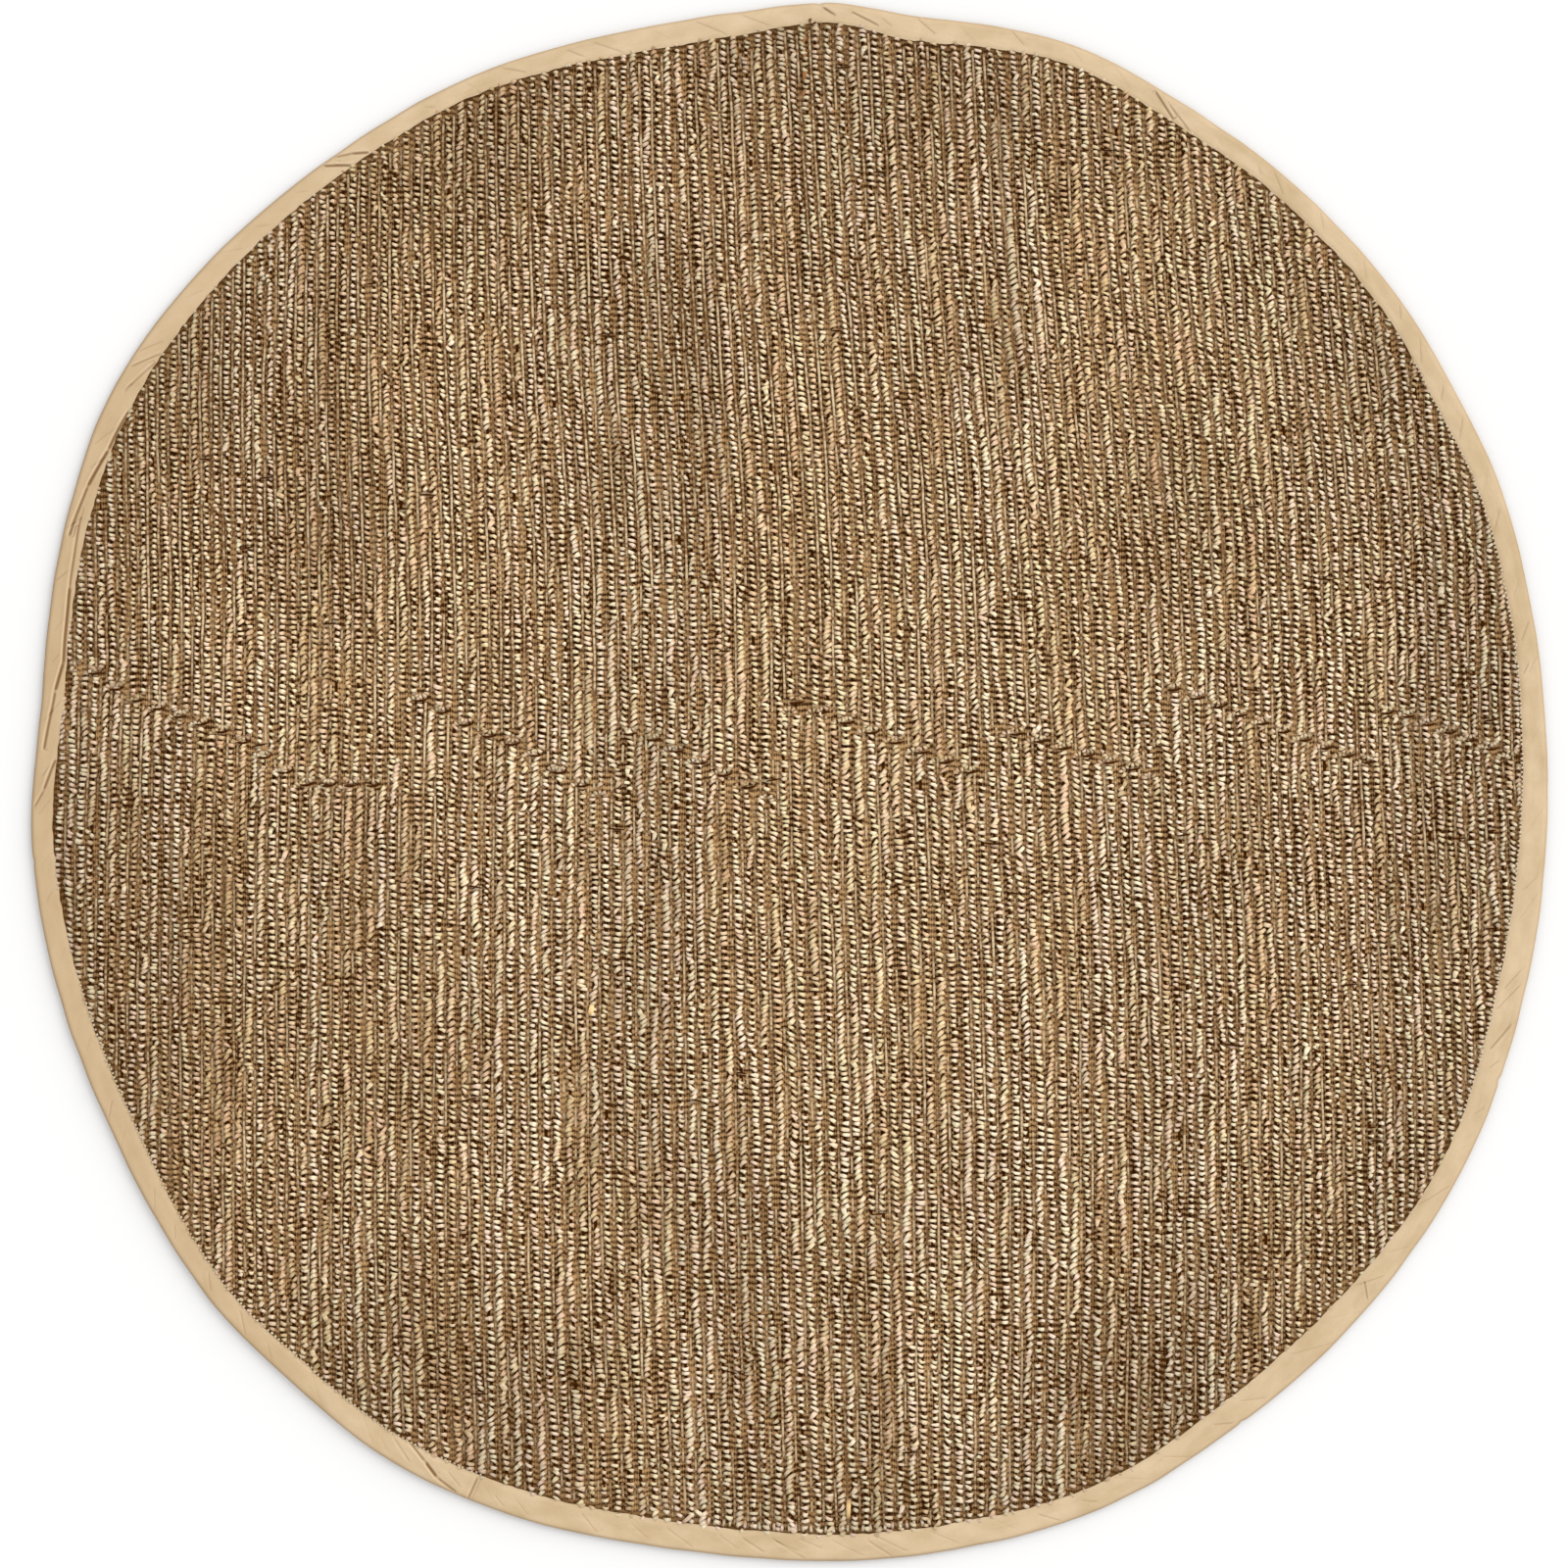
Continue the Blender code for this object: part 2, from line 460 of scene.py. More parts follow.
def turnBack(rng, rowNumber, left, right, way):
    # from the end of one row to the next; way is 1 for the rows above the join
    s = turnSettings
    middle = (left + right) / 2
    half = (right - left) / 2
    out = np.array([half[1], -half[0]]) * way
    count = len(s["bearings"])
    angle = np.radians(s["bearings"]) + rng.normal(size=count) * 0.05
    bulge = s["bulge"] * out[None, :] * np.sin(angle)[:, None]
    reach = half[None, :] * -np.cos(angle)[:, None] + bulge
    made = {
        "x": middle[0] + reach[:, 0],
        "y": middle[1] + reach[:, 1],
        "turn": np.degrees(np.arctan2(reach[:, 1], reach[:, 0])) + 10 * rng.normal(size=count),
        "width": s["width"] + 0.0004 * rng.normal(size=count),
        "thick": s["thick"] + 0.0003 * rng.normal(size=count),
        "top": loopSettings["top"] - s["lower"] + 0.0004 * rng.normal(size=count),
        "skew": 0.0005 * rng.normal(size=count),
        "tip": 0.0004 * rng.normal(size=count),
        "taper": np.full(count, 0.4),
        "row": np.full(count, float(rowNumber)),
        "along": np.arange(count) * -0.005,
        "tone": rng.uniform(*s["tone"], count),
        "full": np.full(count, 0.5),
    }
    keep = fieldRoom(made["x"], made["y"]) > 0.003
    return np.stack([made[name][keep] for name in loopColumns])


slubTop = 0.0100
# Thick places in the yarn, in metres. tone is from 0 to 1, or golden over 1, reddish brown
# over 1.35 and dark below -0.1
slubs = (  # x, y, length, thick, turn in degrees, tone
    (-0.192, -0.220, 0.016, 0.0085, 80, 1.2),
    (0.057, -0.704, 0.024, 0.0070, 88, 1.3),
    (0.631, 0.185, 0.013, 0.0090, 75, 0.5),
    (-0.098, -0.712, 0.018, 0.0060, 40, 0.4),
    (-0.088, -0.707, 0.014, 0.0060, -35, 0.6),
    (0.406, 0.182, 0.010, 0.0070, 60, 0.9),
    (0.240, 0.052, 0.013, 0.0070, 50, 0.8),
    (-0.475, 0.300, 0.012, 0.0070, 85, 0.3),
    (0.0136, 0.7174, 0.011, 0.0062, 70, 1.6),
    (0.0140, 0.7040, 0.012, 0.0058, 95, 1.6),
    (0.0145, 0.6833, 0.013, 0.0066, 82, 1.6),
    (0.0138, 0.6660, 0.011, 0.0056, 60, 1.5),
    (0.0208, 0.7365, 0.0060, 0.0026, 60, -0.8),
    (0.0240, 0.7345, 0.0055, 0.0024, 20, -0.8),
    (0.0290, 0.7335, 0.0060, 0.0026, -20, -0.7),
)
knotRadius = 0.73  # about where the small loops stand, to turn their pitch into degrees
# Small loops that stand in a line beside the tape; room is how far in from the tape's edge
knots = (  # from bearing, to bearing, pitch, room, width, thick, top
    (263, 281, 0.0072, 0.0050, 0.0090, 0.0046, 0.0078),
    (-26, 34, 0.0046, 0.0006, 0.0034, 0.0038, 0.0086),
    (196, 246, 0.0046, 0.0004, 0.0032, 0.0036, 0.0084),
)


def looseLoops(rng, x, y, turn, width, thick, top, tone):
    count = len(x)
    made = {
        "x": x, "y": y, "turn": turn, "width": width, "thick": thick, "top": top,
        "skew": 0.0005 * rng.normal(size=count),
        "tip": 0.0004 * rng.normal(size=count),
        "taper": 0.15 * rng.normal(size=count),
        "row": 500.0 + np.arange(count) % 7,
        "along": np.arange(count) * 0.0057,
        "tone": tone,
        "full": np.ones(count),
    }
    return np.stack([made[name] for name in loopColumns])


def slubLoops(rng):
    x, y, length, thick, turn, tone = np.array(slubs).T
    return looseLoops(rng, x, y, turn, length, thick, np.full(len(x), slubTop), tone)


def knotLoops(rng):
    for fromBearing, toBearing, pitch, room, width, thick, top in knots:
        bearing = np.arange(fromBearing, toBearing, np.degrees(pitch / knotRadius))
        radius = around(outerRadius, bearing) - around(tapeWidth, bearing) - room
        x, y, _ = ringPoints(radius, bearing, 0.0).T
        count = len(bearing)
        yield looseLoops(
            rng, x, y,
            turn=bearing + 7 * rng.normal(size=count),
            width=np.full(count, width),
            thick=thick * (1 + 0.09 * rng.normal(size=count)),
            top=top + 0.0003 * rng.normal(size=count),
            tone=rng.uniform(0.2, 0.9, count),
        )


# Here and there two loops stand apart across a row or two, with a dark strip of painted shade between
# them
cracks = {
    "count": 70,
    "reach": 0.70,  # from the middle
    "length": (0.007, 0.016),
    "slope": 0.12,
    "half": 0.0022,
    "deep": 0.0030,
    "lineHalf": 0.0009,
    "seed": 31,
}


def openCracks(loops):
    s = cracks
    rng = np.random.default_rng(s["seed"])
    at = dict(zip(loopColumns, loops))
    lines = []
    for _ in range(s["count"]):
        angle, reach = rng.uniform(0, 2 * np.pi), s["reach"] * np.sqrt(rng.uniform())
        x, y = reach * np.cos(angle), reach * np.sin(angle)
        half = rng.uniform(*s["length"]) / 2
        slope = rng.normal() * s["slope"]
        dx, dy = at["x"] - x, at["y"] - y
        inside = (abs(dx) < half) & (abs(dy - slope * dx) < s["half"])
        loops[loopColumns.index("top")][inside] -= s["deep"]
        lines.append((x - half, y - slope * half, x + half, y + slope * half, 0.0, s["lineHalf"]))
    return lines


def joinPlace(curve):
    # where a row meets the join
    y = 0.03  # a first guess
    x = np.interp(y, rowKnots, curve)
    for _ in range(3):
        y = np.interp(x, joinXs, joinYs)
        x = np.interp(y, rowKnots, curve)
    return x, y


# A dark strip of painted shade in the slit under each turn, in metres out from the ends of the two rows
joinSlit = {
    "left": 0.0010, "right": 0.0016, "start": 0.0016, "end": 0.0002, "bow": -0.0012, "half": 0.0012,
}


def shareTurns(ends, way):
    # brings the ends of each pair of rows that share a turn level, and lists the pairs
    for k in range(1 + (way < 0), len(ends), 2):
        if abs(ends[k, 1] - ends[k - 1, 1]) > loopSettings["turnStep"]:
            continue
        ends[k - 1:k + 1, 1] = ends[k - 1:k + 1, 1].mean()
        yield k


def weaveLoops():
    s = loopSettings
    rng = np.random.default_rng(s["seed"])
    upper, lower = (rowCurves(k + 1, level) for k, level in enumerate(pitchLevels))
    parts, lines, number = [], [], 0
    for curves, way in ((upper, 1), (lower, -1)):
        ends = np.array([joinPlace(curve) for curve in curves])
        joinGaps = np.full(len(curves), s["joinGap"])
        gap = np.array([0, way * s["turnGap"]])
        for k in shareTurns(ends, way):
            joinGaps[k - 1:k + 1] = s["turnGap"]
            parts.append(turnBack(rng, 400 + k, ends[k - 1] + gap, ends[k] + gap, way))
            if way > 0:
                x0, x1 = ends[k - 1, 0] - joinSlit["left"], ends[k, 0] + joinSlit["right"]
                y0, y1 = ends[k, 1] - joinSlit["start"], ends[k, 1] - joinSlit["end"]
                lines.append((x0, y0, x1, y1, joinSlit["bow"], joinSlit["half"]))
        for k in range(1, len(curves)):
            pitch = ends[k, 0] - np.interp(ends[k, 1], rowKnots, curves[k - 1])
            parts.append(weaveRow(rng, number, curves[k], pitch, ends[k, 1], way, joinGaps[k]))
            number += 1
    parts.append(slubLoops(rng))
    parts.extend(knotLoops(rng))
    made = np.concatenate(parts, axis=1)
    return made, upper, lower, lines + openCracks(made)


def archMesh(name, loops):
    s = loopSettings
    at = dict(zip(loopColumns, loops[:, :, None, None]))
    arch = np.radians(s["stations"])[None, :, None]
    turn = np.radians(s["round"])[None, None, :]
    thin = np.minimum(at["thick"] * 0.46, at["width"] * 0.3)
    foot = np.minimum(s["foot"], at["top"] - thin * 1.2)
    lift = at["top"] - thin - foot
    spread = 0.64 + 0.36 * np.cos(arch)
    halfWide = at["thick"] / 2 * spread * (1 + at["taper"] * np.sin(arch))
    x = (at["width"] / 2 - thin) * np.sin(arch) + at["skew"] * np.cos(arch)
    x = x + thin * np.sin(turn) * np.sin(arch)
    y = halfWide * np.cos(turn) + at["tip"] * np.cos(arch)
    z = foot + lift * np.cos(arch) + thin * np.sin(turn) * np.cos(arch)
    slant = np.radians(at["turn"])
    points = joined(
        at["x"] + x * np.cos(slant) - y * np.sin(slant),
        at["y"] + x * np.sin(slant) + y * np.cos(slant),
        z,
    )
    count, stations, ring = points.shape[:3]
    faces = gridQuads(np.arange(count * stations * ring).reshape(count, stations, ring))
    side = math.ceil(math.sqrt(count))  # cells along one side of the map
    cellX = (np.arange(count) % side)[:, None, None]
    cellY = (np.arange(count) // side)[:, None, None]
    mapX = (cellX + cellStart + cellSpan * np.linspace(0, 1, stations)[None, :, None]) / side
    mapY = (cellY + cellStart + cellSpan * np.linspace(0, 1, ring)[None, None, :]) / side
    maps = joined(mapX, mapY).reshape(-1, 2)[faces.reshape(-1)]
    whole = np.zeros((count, stations, ring))
    vectors = {
        "strand": joined(at["row"] + whole, at["along"], at["tone"]),
        "across": joined(np.sin(arch) + whole, np.sin(turn) * 1.15, at["full"]),
    }
    return buildMesh(name, points.reshape(-1, 3), faces, maps, vectors)


juteColours = {
    "straw": (
        (0.05, (0.24, 0.129, 0.044)),
        (0.35, (0.51, 0.375, 0.208)),
        (0.60, (0.77, 0.612, 0.398)),
        (0.88, (0.83, 0.722, 0.540)),
    ),
    "golden": (
        (0.05, (0.28, 0.148, 0.045)),
        (0.50, (0.67, 0.475, 0.268)),
        (0.90, (0.80, 0.675, 0.450)),
    ),
    "grey": (
        (0.05, (0.22, 0.148, 0.070)),
        (0.50, (0.59, 0.482, 0.325)),
        (0.90, (0.81, 0.712, 0.530)),
    ),
    "pinkish": (1.0, 0.905, 0.97),
    "greenish": (0.95, 1.005, 0.925),
    "fibre": (0.34, 0.226, 0.118),
    "goldenSlub": (0.76, 0.52, 0.24),
    "reddishSlub": (0.30, 0.135, 0.055),
    "darkSlub": (0.15, 0.075, 0.030),
    "paintedHollowShade": (0.036, 0.006, 0.0),  # painted shade between two loops and on the sides of each strand
    "shadedFlank": (0.60, 0.390, 0.208),  # painted shade where a loop turns down into the gap between the rows
    "darkShadedFlank": (0.25, 0.104, 0.021),
    # painted shade towards the edge and the left side
    "falloffShade": (0.07, 0.024, 0.0),
}


def edgeFalloffAndPatches(f, colour, x, y):
    # painted shade: the jute is made a little browner and darker towards the edge and the left side,
    # where less light falls, and darker in patches
    patch = f.noise(x * 5, y * 3, 2.0)
    falloffShade = (x * x + y * y) * 0.55 - x * 0.06 + (patch - 0.5) * 0.75 - 0.05
    return f.mix(falloffShade, colour, juteColours["falloffShade"])


def juteFinish():
    f = Finish("looped jute")
    c = juteColours
    row, along, tone = f.vector("strand")
    arch, crown, full = f.vector("across")
    x, y, height = f.place()
    streak = f.noise(row * 7.31, along * 8, 0.5)  # along one row
    band = f.noise(x * 24, y * 1.4, 5.5, 1.0)  # over several rows at once
    own = f.noise(row * 11.3, along * 170, 3.5, 0.0)  # from loop to loop
    value = (streak - 0.5) * 1.15 + (band - 0.5) * 0.70 + (own - 0.5) * 0.42
    value = value + (tone - 0.5) * 0.28 + 0.77
    ownHue = f.noise(row * 3.77 + 40, along * 4, 7.5)
    hueNear = f.noise(x * 26, y * 1.8, 3.5, 1.0)
    hueWide = f.noise(x * 7, y * 1.2, 8.5, 1.0)
    hue = ownHue * 0.45 + hueNear * 0.5 + hueWide * 0.7 - 0.825
    colour = f.mix(hue.between(0.02, 0.14), f.ramp(value, c["straw"]), f.ramp(value, c["golden"]))
    colour = f.mix(hue.between(0.0, -0.11), colour, f.ramp(value, c["grey"]))
    tint = f.noise(row * 5.93 + 9, along * 140, 1.5, 1.0)
    tint = tint * 1.3 + f.noise(row * 2.71, along * 12, 6.5, 1.0) * 0.7
    colour = f.mix(tint.between(0.98, 1.24), colour, c["pinkish"], "MULTIPLY")
    colour = f.mix(tint.between(1.02, 0.78), colour, c["greenish"], "MULTIPLY")
    fibre = f.noise(arch * 2.5 + crown * 2.0, crown * 7, row * 5.1 + along * 300)
    colour = f.mix(fibre.between(0.35, 0.75) * 0.45, colour, c["fibre"])
    colour = f.mix(tone.between(1.0, 1.2), colour, c["goldenSlub"])
    colour = f.mix(tone.between(1.35, 1.5), colour, c["reddishSlub"])
    colour = f.mix(tone.between(-0.1, -0.6), colour, c["darkSlub"])
    # painted shade: the lower parts and the sides of each strand are darkened towards the hollow shade
    # colour
    lit = height.between(0.0050, 0.0088) * 0.45 + 0.55
    colour = f.mix(lit * crown.between(0.25, 1.0), c["paintedHollowShade"], colour)
    # painted shade: the ends of each loop, where it turns down between the rows, take the darker flank
    # colours
    shadedFlank = f.mix(fibre.between(0.3, 0.7), c["shadedFlank"], c["darkShadedFlank"])
    reach = arch.absolute() + (own - 0.5) * 0.4 - full * 0.10
    colour = f.mix(reach.between(0.37, 0.87), colour, shadedFlank)
    colour = edgeFalloffAndPatches(f, colour, x, y)
    normal = f.bump(fibre, 0.0006, 0.6)
    return f.close(colour, 0.72 + 0.2 * fibre, normal, 0.06)


# The thin smooth yarn between the rows

yarnSettings = {
    "thickness": 0.0030,
    "height": 0.0059,  # of its middle where it shows
    "sunk": 0.0030,  # and where it lies hidden
    "least": 0.12,  # share of its length that shows where the rows stand close
    "more": 0.30,  # added where they stand apart
    "step": 0.010,
    "round": (-20, 50, 130, 200),  # degrees round the yarn
    "seed": 5,
    "colours": (
        (0.30, (0.22, 0.118, 0.048)),
        (0.50, (0.41, 0.288, 0.158)),
        (0.72, (0.59, 0.458, 0.285)),
    ),
    # painted shade on the sides of the yarn
    "side": (0.12, 0.046, 0.010),
}


def yarnRuns(upper, lower):
    s = yarnSettings
    rng = np.random.default_rng(s["seed"])
    for curves, way in ((upper, 1), (lower, -1)):
        for k in range(1, len(curves)):
            y = np.interp(curves[k].mean(), joinXs, joinYs) + way * np.arange(0, reachOut, s["step"])
            left, right = (np.interp(y, rowKnots, curves[k + step]) for step in (-1, 0))
            x = (left + right) / 2 + 0.0007 * slowNoise(rng, y * way, 0.03)
            keep = fieldRoom(x, y) > 0.001
            if keep.sum() < 3:
                continue
            x, y = x[keep], y[keep]
            hidden = 1 - 2 * (s["least"] + s["more"] * openWeave(x, y))
            shown = smoothStep(slowNoise(rng, y * way, 0.045), hidden - 0.3, hidden + 0.3)
            z = s["sunk"] + (s["height"] - s["sunk"]) * shown + 0.0004 * rng.normal(size=len(x))
            yield joined(x, y, z), k + (1000 if way < 0 else 0)


def yarnMesh(name, runs):
    s = yarnSettings
    runs = list(runs)
    turn = np.radians(s["round"])
    radius = s["thickness"] / 2
    corners = len(turn)
    lap = 0.1 + 0.8 * np.linspace(0, 1, corners)  # across each run's own band of the map
    points, faces, maps, strand = [], [], [], []
    total = 0
    for number, (path, label) in enumerate(runs):
        count = len(path)
        x, y, z = path.T[:, :, None]
        quads = gridQuads(np.arange(count * corners).reshape(count, corners))
        along = np.linspace(0, 0.8 * count / 62, count)[:, None]
        places = joined(along / 0.82, (number + lap) / len(runs))
        maps.append(places.reshape(-1, 2)[quads.reshape(-1)])
        points.append(joined(x + radius * np.cos(turn), y, z + radius * np.sin(turn)).reshape(-1, 3))
        faces.append(quads + total)
        strand.append(joined(float(label), along, np.sin(turn)).reshape(-1, 3))
        total += count * corners
    vectors = {"strand": np.concatenate(strand)}
    return buildMesh(name, np.concatenate(points), np.concatenate(faces), np.concatenate(maps), vectors)


# painted shade: dark strips under the rows, along the join and in the cracks, where shade falls between
# the loops
shadeStripSettings = {
    "halfWidth": 0.0026,
    "height": 0.0047,
    "sag": 0.0012,  # of its sides
    "step": 0.02,
    "lineHeight": 0.0093,  # of the painted shade lines at the join and in the cracks
    "lineSag": 0.0006,
    "fromTape": 0.012,  # no dark line lies closer to the tape
    "colours": ((0.3, (0.014, 0.003, 0.0)), (0.7, (0.062, 0.017, 0.001))),
}


def rowShadeRuns(upper, lower):
    # a strip under each row of loops, coloured almost black as painted shade in the gaps between the
    # loops
    s = shadeStripSettings
    for curves, way in ((upper, 1), (lower, -1)):
        for k in range(1, len(curves)):
            start = joinPlace(curves[k])[1] + way * 0.004
            y = start + way * np.arange(0, reachOut, s["step"])
            x = np.interp(y, rowKnots, curves[k])
            keep = fieldRoom(x, y) > -0.004
            if keep.sum() > 1:
                yield x[keep], y[keep]


sides = np.array((-1, 0, 1))  # the three points across a strip


def lineStrips(lines):
    # painted shade: short dark strips along the join and in the cracks, each with its bow and half its
    # width
    s = shadeStripSettings
    share = np.linspace(0, 1, 5)
    for x0, y0, x1, y1, bow, halfWide in lines:
        if fieldRoom((x0 + x1) / 2, (y0 + y1) / 2) < s["fromTape"]:
            continue
        x = x0 + (x1 - x0) * share
        y = y0 + (y1 - y0) * share + bow * 4 * share * (1 - share)
        wide = halfWide * np.sqrt(np.sin(np.pi * (0.08 + 0.84 * share)))
        lift = s["lineHeight"] - s["lineSag"] * abs(sides)
        yield joined(x[:, None], y[:, None] + sides * wide[:, None], lift)


def rowShadeStrips(runs):
    s = shadeStripSettings
    lift = s["height"] - s["sag"] * abs(sides)
    for x, y in runs:
        yield joined(x[:, None] + sides * s["halfWidth"], y[:, None], lift)


def shadeStripMesh(name, runs, lines):
    points, faces, total = [], [], 0
    for strip in [*rowShadeStrips(runs), *lineStrips(lines)]:
        size = len(strip) * 3
        faces.append(gridQuads(np.arange(size).reshape(-1, 3)) + total)
        points.append(strip.reshape(-1, 3))
        total += size
    points, faces = np.concatenate(points), np.concatenate(faces)
    maps = points[faces.reshape(-1)][:, :2] / mapSpan + 0.5
    return buildMesh(name, points, faces, maps, {})


def shadeStripFinish():
    f = Finish("painted shade under the loops")
    x, y = f.place()[:2]
    grain = f.noise(x * 900, y * 300, 0.0)
    colour = f.ramp(grain, shadeStripSettings["colours"])
    return f.close(colour, 0.8 + 0.15 * grain, f.bump(grain, 0.0004, 0.6), 0.03)


def yarnFinish():
    f = Finish("smooth jute yarn")
    row, along, crown = f.vector("strand")
    streak = f.noise(row * 5.3, along * 11, 0.2)
    own = f.noise(row * 9.1, along * 210, 4.2, 1.0)
    twist = (along * 2600 + crown * 2.2).sine()
    value = (streak - 0.5) * 1.2 + (own - 0.5) * 1.5 + 0.50 + twist * 0.07
    colour = f.ramp(value, yarnSettings["colours"])
    # painted shade: the yarn's sides are darker than its top
    colour = f.mix(crown.between(-0.2, 0.9), yarnSettings["side"], colour)
    x, y = f.place()[:2]
    colour = edgeFalloffAndPatches(f, colour, x, y)
    normal = f.bump(twist, 0.0003, 0.6)
    return f.close(colour, 0.78 + 0.1 * streak, normal, 0.08)


# The woven mat that holds them

matSettings = {
    "top": 0.0040,
    "marginTop": 0.0060,
    "marginBottom": 0.0015,
    "marginInset": 0.0045,  # from the rug's edge to where the margin's own edge bends round
    "topShares": (0.0, 0.12, 0.3, 0.48, 0.66, 0.84, 0.96),  # of the way out to the tape
    "bends": (90, 60, 20, -20, -60, -90),  # degrees round the margin's edge
    "underShares": (0.84, 0.48, 0.12, 0.0),
    "upperRings": 12,  # the faces past these lie on the second half of the map
    "steps": 240,
    "colours": ((0.41, (0.035, 0.010, 0.0)), (0.66, (0.47, 0.288, 0.130))),
    # painted shade where the mat rises beside the tape's edge
    "raisedShading": (0.09, 0.042, 0.012),
    "underside": ((0.25, (0.26, 0.17, 0.09)), (0.75, (0.50, 0.37, 0.22))),
}


def matMesh(name):
    s = matSettings
    bearings = np.arange(s["steps"]) * 360 / s["steps"]
    outer = around(outerRadius, bearings)
    inner = outer - around(tapeWidth, bearings)
    rings = [(inner * share, s["top"]) for share in s["topShares"]]
    rings.append((inner - 0.008, s["top"]))
    rings.append((inner + 0.0015, s["marginTop"] - 0.0004))
    middle = (s["marginTop"] + s["marginBottom"]) / 2
    half = (s["marginTop"] - s["marginBottom"]) / 2
    for degrees in s["bends"]:
        a = math.radians(degrees)
        rings.append((outer - s["marginInset"] + half * math.cos(a), middle + half * math.sin(a)))
    rings.append((inner + 0.001, s["marginBottom"]))
    rings.append((inner - 0.005, 0.0))
    rings.extend((inner * share, 0.0) for share in s["underShares"])
    points = np.stack([ringPoints(radius, bearings, height) for radius, height in rings])
    grid = np.arange(len(rings) * s["steps"]).reshape(len(rings), -1)
    faces = gridQuads(np.concatenate([grid, grid[:, :1]], axis=1))
    flat = points.reshape(-1, 3)[faces.reshape(-1)]
    under = np.repeat(np.arange(len(rings) - 1) >= s["upperRings"], s["steps"] * 4)
    mapX = (flat[:, 0] / mapSpan + 0.5) * 0.49 + 0.005 + 0.5 * under
    mapY = flat[:, 1] / mapSpan + 0.5
    return buildMesh(name, points.reshape(-1, 3), faces, joined(mapX, mapY), {})


def matFinish():
    f = Finish("jute ground weave")
    x, y, z = f.place()
    wide = f.noise(x, y * 0.25, 3.0, 2.0, 60.0)
    rib = (y * 1065 + wide * 14).sine()  # feet of the loops that cross under the yarns
    strand = (x * 2600 + wide * 10).sine()
    grain = f.noise(x * 0.4, y, 0.0, 3.0, 800.0)
    shade = rib * 0.11 + strand * 0.05 + grain * 0.45 + wide * 0.45 + 0.08
    dark = f.ramp(shade, matSettings["colours"])
    # painted shade: the mat darkens where it rises to the margin beside the tape
    dark = f.mix(z.between(0.0042, 0.0054) * 0.75, dark, matSettings["raisedShading"])
    pale = f.ramp(shade, matSettings["underside"])
    colour = f.mix(z.between(0.0008, 0.0022), pale, edgeFalloffAndPatches(f, dark, x, y))
    normal = f.bump(rib + strand * 0.5 + grain, 0.0006, 0.7)
    return f.close(colour, 0.8 + 0.15 * grain, normal, 0.05)


# The cotton tape folded over the edge

tapeSettings = {
    "thickness": 0.0012,
    "steps": 1600,
    "topShares": (1.0, 0.985, 0.93, 0.84, 0.75, 0.66, 0.57, 0.48, 0.39, 0.30, 0.21, 0.10),
    "bends": (90, 60, 30, 0, -30, -60, -90),  # degrees round the fold
    "insideBends": (-90, -30, 30, 90),
    "droop": 0.0007,  # of the top flap's raw edge
    "arcRadius": 0.750,  # turns bearings into lengths along the tape
    "wholeArc": 4.712,
    "mmPerDegree": 13.1,
    "bands": 9,  # lengths that the map is laid out in
    "creaseDepth": 0.0007,
    "creasedPoints": 14,  # of the section, from the raw edge of the top flap
    "puffedPoints": 13,
    "puff": 0.00035,
    "softCreases": 95,
    "seed": 23,
    "colours": (
        (0.34, (0.425, 0.312, 0.180)),
        (0.50, (0.485, 0.365, 0.226)),
        (0.66, (0.535, 0.410, 0.265)),
    ),
    "shaded": (0.36, 0.245, 0.130),  # towards the left side
    # painted shade where the tape turns down round the fold
    "edge": (0.24, 0.155, 0.080),
    "grain": (0.34, 0.235, 0.135),
    # painted shade in the folds and drag lines
    "line": (0.15, 0.070, 0.022),
    # painted highlight on the raised lip beside each fold
    "raisedShading": (0.66, 0.52, 0.35),
}
# Folds and creases in the top of the tape. bearing is in degrees, inset in millimetres in
# from the rug's edge, and depth is from 0 to 1
creaseRows = (  # bearing, inset, to bearing, to inset, depth
    (150.8, 24.0, 154.1, 20.8, 0.9),
    (154.1, 20.8, 157.3, 12.0, 1.0),
    (157.3, 12.0, 161.3, 7.1, 0.8),
    (158.6, 13.1, 165.0, 17.2, 0.7),
    (165.0, 17.2, 170.7, 19.3, 1.0),
    (170.7, 19.3, 173.0, 13.1, 1.0),
    (173.0, 13.1, 177.6, 7.8, 0.8),
    (178.3, 20.0, 180.7, 11.6, 0.8),
    (180.7, 11.6, 182.0, 3.5, 0.6),
    (145.8, 22.8, 147.9, 4.9, 0.5),
    (146.6, 22.8, 149.7, 11.5, 0.5),
    (123.9, 17.7, 125.0, 9.1, 0.8),
    (125.0, 9.1, 126.2, 2.5, 0.6),
    (125.5, 18.5, 127.3, 3.0, 0.8),
    (240.0, 26.0, 241.7, 16.7, 0.7),
    (241.7, 16.7, 243.0, 8.3, 1.0),
    (243.0, 8.3, 244.8, 2.6, 0.7),
    (238.7, 22.4, 240.7, 9.6, 0.4),
    (245.7, 24.0, 245.7, 1.0, 0.6),
    (247.4, 13.9, 248.4, 6.2, 0.3),
    (60.0, 19.1, 62.3, 4.1, 0.7),
    (58.6, 20.0, 61.5, 5.5, 0.5),
    (86.7, 12.9, 87.7, 5.3, 0.6),
    (83.4, 16.5, 85.6, 7.4, 0.6),
    (266.2, 20.0, 268.0, 6.6, 0.4),
    (268.7, 19.5, 270.5, 10.0, 0.3),
    (270.5, 22.4, 272.3, 13.0, 0.3),
    (275.7, 20.0, 277.4, 2.9, 0.4),
    (8.3, 18.7, 9.2, 11.4, 0.4),
    (318.0, 6.0, 318.9, 20.0, 0.5),
    (339.0, 19.0, 341.4, 6.1, 0.5),
)
nickWidth = 0.22  # degrees
